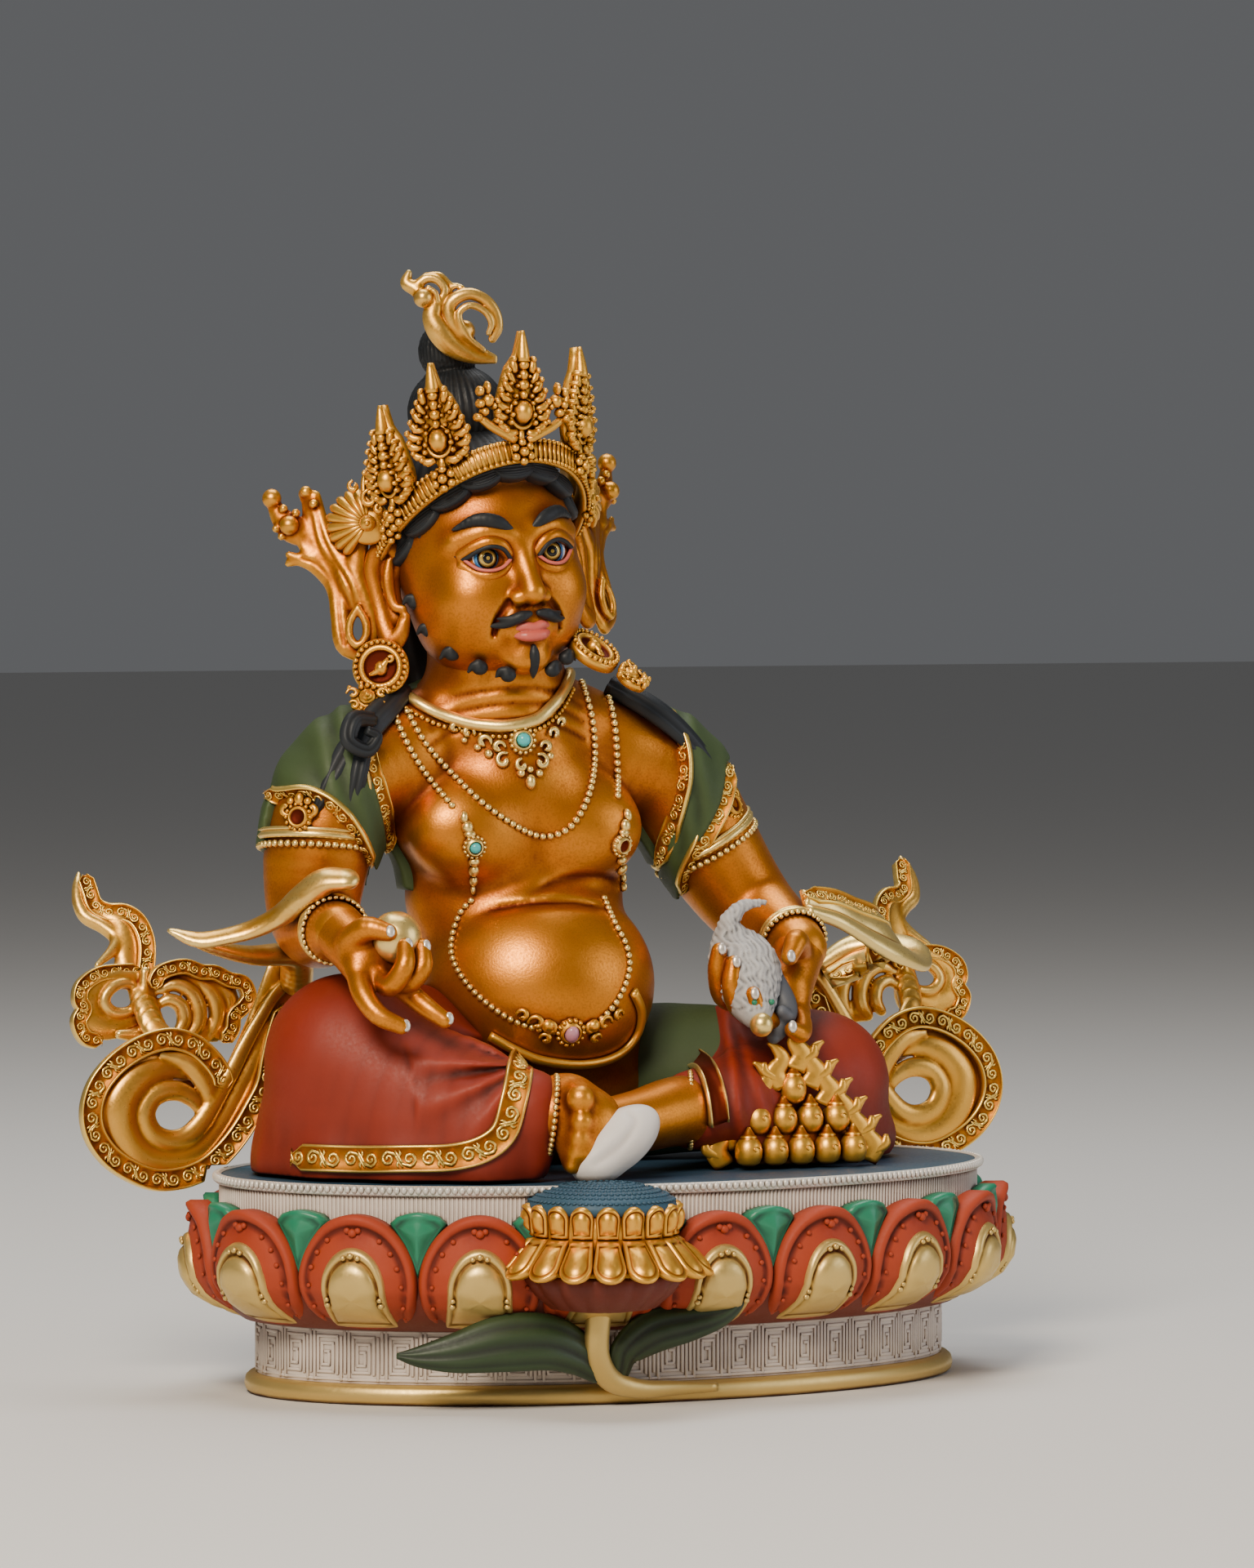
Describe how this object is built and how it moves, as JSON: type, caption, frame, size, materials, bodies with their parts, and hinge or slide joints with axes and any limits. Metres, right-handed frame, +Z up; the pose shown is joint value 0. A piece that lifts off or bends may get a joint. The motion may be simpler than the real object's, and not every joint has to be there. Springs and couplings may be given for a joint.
{
  "type": "jambhala statue",
  "caption": "Seated, crowned Jambhala on an oval lotus throne, with a mongoose, a conch, a heap of jewels and curling scarf ends.",
  "frame": {"origin": "centre of the throne's underside", "axes": "+Z up, the figure faces -Y, and +X is on the figure's left"},
  "size_m": [0.1855, 0.1144, 0.2],
  "materials": {
    "throne_paint": "matt hand-painted copper",
    "figure_gilt": "fire-gilt copper with a dark wash in the recesses",
    "scarf_gilt": "fire-gilt copper with a dark wash in the recesses",
    "jewel_gilt": "fire-gilt copper with a dark wash in the recesses"
  },
  "bodies": {
    "root": {"lotus_throne": "throne_paint", "figure": "figure_gilt", "scarf_right": "scarf_gilt", "scarf_left": "scarf_gilt", "jewel_heap": "jewel_gilt"}
  },
  "joints": []
}
